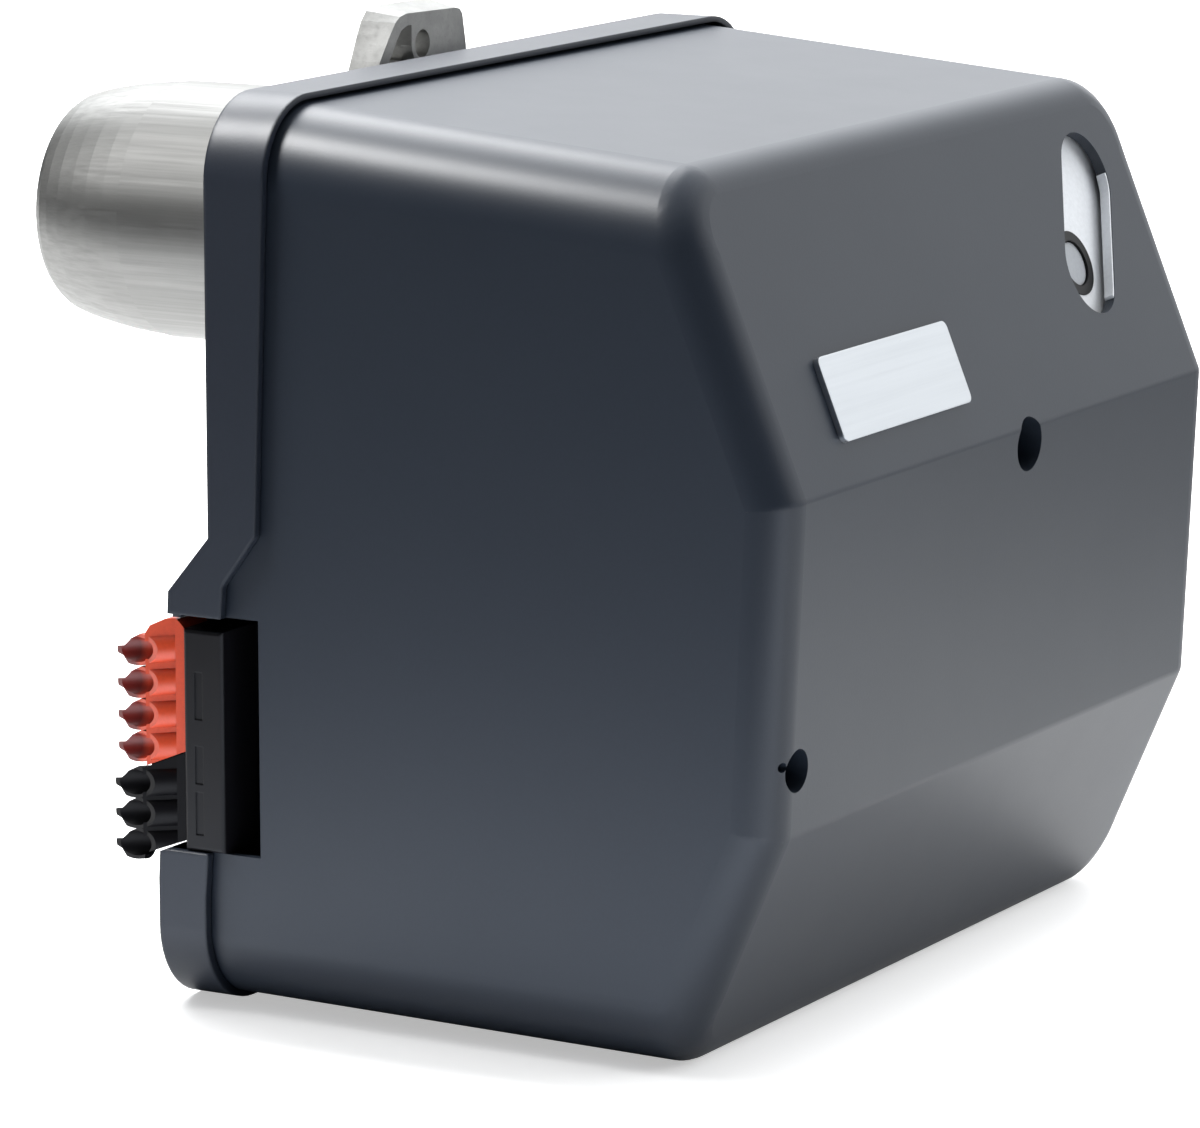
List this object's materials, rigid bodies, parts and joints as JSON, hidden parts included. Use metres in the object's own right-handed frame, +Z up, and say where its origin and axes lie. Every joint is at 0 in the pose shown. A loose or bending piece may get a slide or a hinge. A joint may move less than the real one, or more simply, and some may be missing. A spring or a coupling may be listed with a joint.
{
  "type": "oil burner",
  "caption": "Compact pressure-jet oil burner: dark plastic hood and rear casing, steel blast tube with bolt-on flange, fan, motor, oil pump, igniter, reset button and plug-in connectors.",
  "frame": {"origin": "centre of the flange's mounting face, on the blast tube's axis", "axes": "+X to the right seen from the front of the hood, +Y along the blast tube towards the flame, +Z up"},
  "size_m": [0.304, 0.3359, 0.294],
  "materials": {
    "dark_cover_plastic": "satin anthracite",
    "dark_casing_plastic": "satin anthracite",
    "badge_aluminium": "bright plate, blank",
    "zinc_steel": "zinc plated",
    "cast_aluminium": "die cast",
    "sheet_steel": "zinc plated sheet",
    "stainless_tube": "fine brushed stainless",
    "cast_flange": "die cast, bright",
    "motor_paint": "dark enamel",
    "stator_iron": "laminated iron",
    "bearing_steel": "ground steel",
    "grey_plastic": "matt grey",
    "black_plastic": "matt black",
    "brass": "machined",
    "copper": "drawn copper pipe",
    "ceramic": "glazed ceramic",
    "lead_rubber": "silicone lead",
    "white_panel": "satin white",
    "black_ring": "matt black",
    "button_plastic": "satin grey white",
    "socket_plastic": "matt black",
    "orange_plastic": "satin orange",
    "black_plug_plastic": "satin black"
  },
  "bodies": {
    "burner": {"rear_casing": "dark_casing_plastic", "casing_screws": "zinc_steel", "fan_housing": "cast_aluminium", "chamber_plate": "sheet_steel", "plate_screws": "zinc_steel", "cover_bracket": "sheet_steel", "blast_tube": "stainless_tube", "end_cone": "stainless_tube", "flange": "cast_flange", "clamp_screw": "zinc_steel", "motor_housing": "motor_paint", "motor_stator": "stator_iron", "motor_end_shield": "motor_paint", "motor_bearings": "bearing_steel", "capacitor": "grey_plastic", "capacitor_clamp": "sheet_steel", "intake_box": "black_plastic", "pump_body": "cast_aluminium", "pump_cover": "cast_aluminium", "pump_screws": "zinc_steel", "valve_coil": "black_plastic", "oil_pipe": "copper", "nozzle_line": "brass", "preheater": "grey_plastic", "nozzle": "brass", "electrode_insulators": "ceramic", "electrode_tips": "bearing_steel", "electrode_bracket": "sheet_steel", "diffuser": "stainless_tube", "ignition_transformer": "black_plastic", "transformer_bracket": "sheet_steel", "ignition_leads": "lead_rubber", "flame_sensor": "grey_plastic", "control_box": "black_plastic", "control_panel": "white_panel", "button_ring": "black_ring", "control_base": "grey_plastic", "socket_housing": "socket_plastic", "socket_pins": "brass"},
    "cover": {"front_cover": "dark_cover_plastic", "badge_plate": "badge_aluminium", "cover_screws": "zinc_steel", "window_trim": "white_panel"},
    "rotor": {"motor_shaft": "bearing_steel", "rotor_core": "stator_iron", "fan_wheel": "sheet_steel", "drive_coupling": "black_plastic", "pump_drive_gear": "bearing_steel"},
    "pump_idler": {"pump_idler_gear": "bearing_steel"},
    "air_damper": {"air_flap": "sheet_steel", "flap_spindle": "bearing_steel", "air_knob": "black_plastic"},
    "reset_button": {"reset_button": "button_plastic"},
    "orange_plug": {"orange_plug": "orange_plastic"},
    "black_plug": {"black_plug": "black_plug_plastic"},
    "pressure_screw": {"pressure_screw": "brass"},
    "valve_plunger": {"valve_plunger": "bearing_steel"}
  },
  "joints": [
    {"name": "cover_pull", "type": "slide", "parent": "burner", "child": "cover", "axis": [0, -1, 0], "range_m": [0, 0.25]},
    {"name": "rotor_spin", "type": "hinge", "parent": "burner", "child": "rotor", "pos_m": [0, -0.107, -0.127], "axis": [1, 0, 0], "continuous": true},
    {"name": "pump_idler_spin", "type": "hinge", "parent": "burner", "child": "pump_idler", "pos_m": [0.1, -0.107, -0.1453], "axis": [1, 0, 0], "continuous": true},
    {"name": "air_damper_turn", "type": "hinge", "parent": "burner", "child": "air_damper", "pos_m": [0.05, -0.049, -0.147], "axis": [1, 0, 0], "range_deg": [0, 90]},
    {"name": "reset_press", "type": "slide", "parent": "burner", "child": "reset_button", "axis": [0, 0.9261, -0.3774], "range_m": [0, 0.003], "stiffness_N_per_m": 300, "springref_m": -0.002},
    {"name": "black_plug_pull", "type": "slide", "parent": "burner", "child": "black_plug", "axis": [0, 1, 0], "range_m": [0, 0.03]},
    {"name": "orange_plug_pull", "type": "slide", "parent": "black_plug", "child": "orange_plug", "axis": [0, 1, 0], "range_m": [0, 0.03]},
    {"name": "pressure_screw_turn", "type": "hinge", "parent": "burner", "child": "pressure_screw", "pos_m": [0.08, -0.13, -0.143], "axis": [0, 1, 0], "range_deg": [-180, 180]},
    {"name": "valve_plunger_lift", "type": "slide", "parent": "burner", "child": "valve_plunger", "axis": [0, 0, 1], "range_m": [0, 0.002], "stiffness_N_per_m": 400, "springref_m": -0.002}
  ],
  "couplings": [
    {"joint": "pump_idler_spin", "follows": "rotor_spin", "ratio": -1}
  ]
}
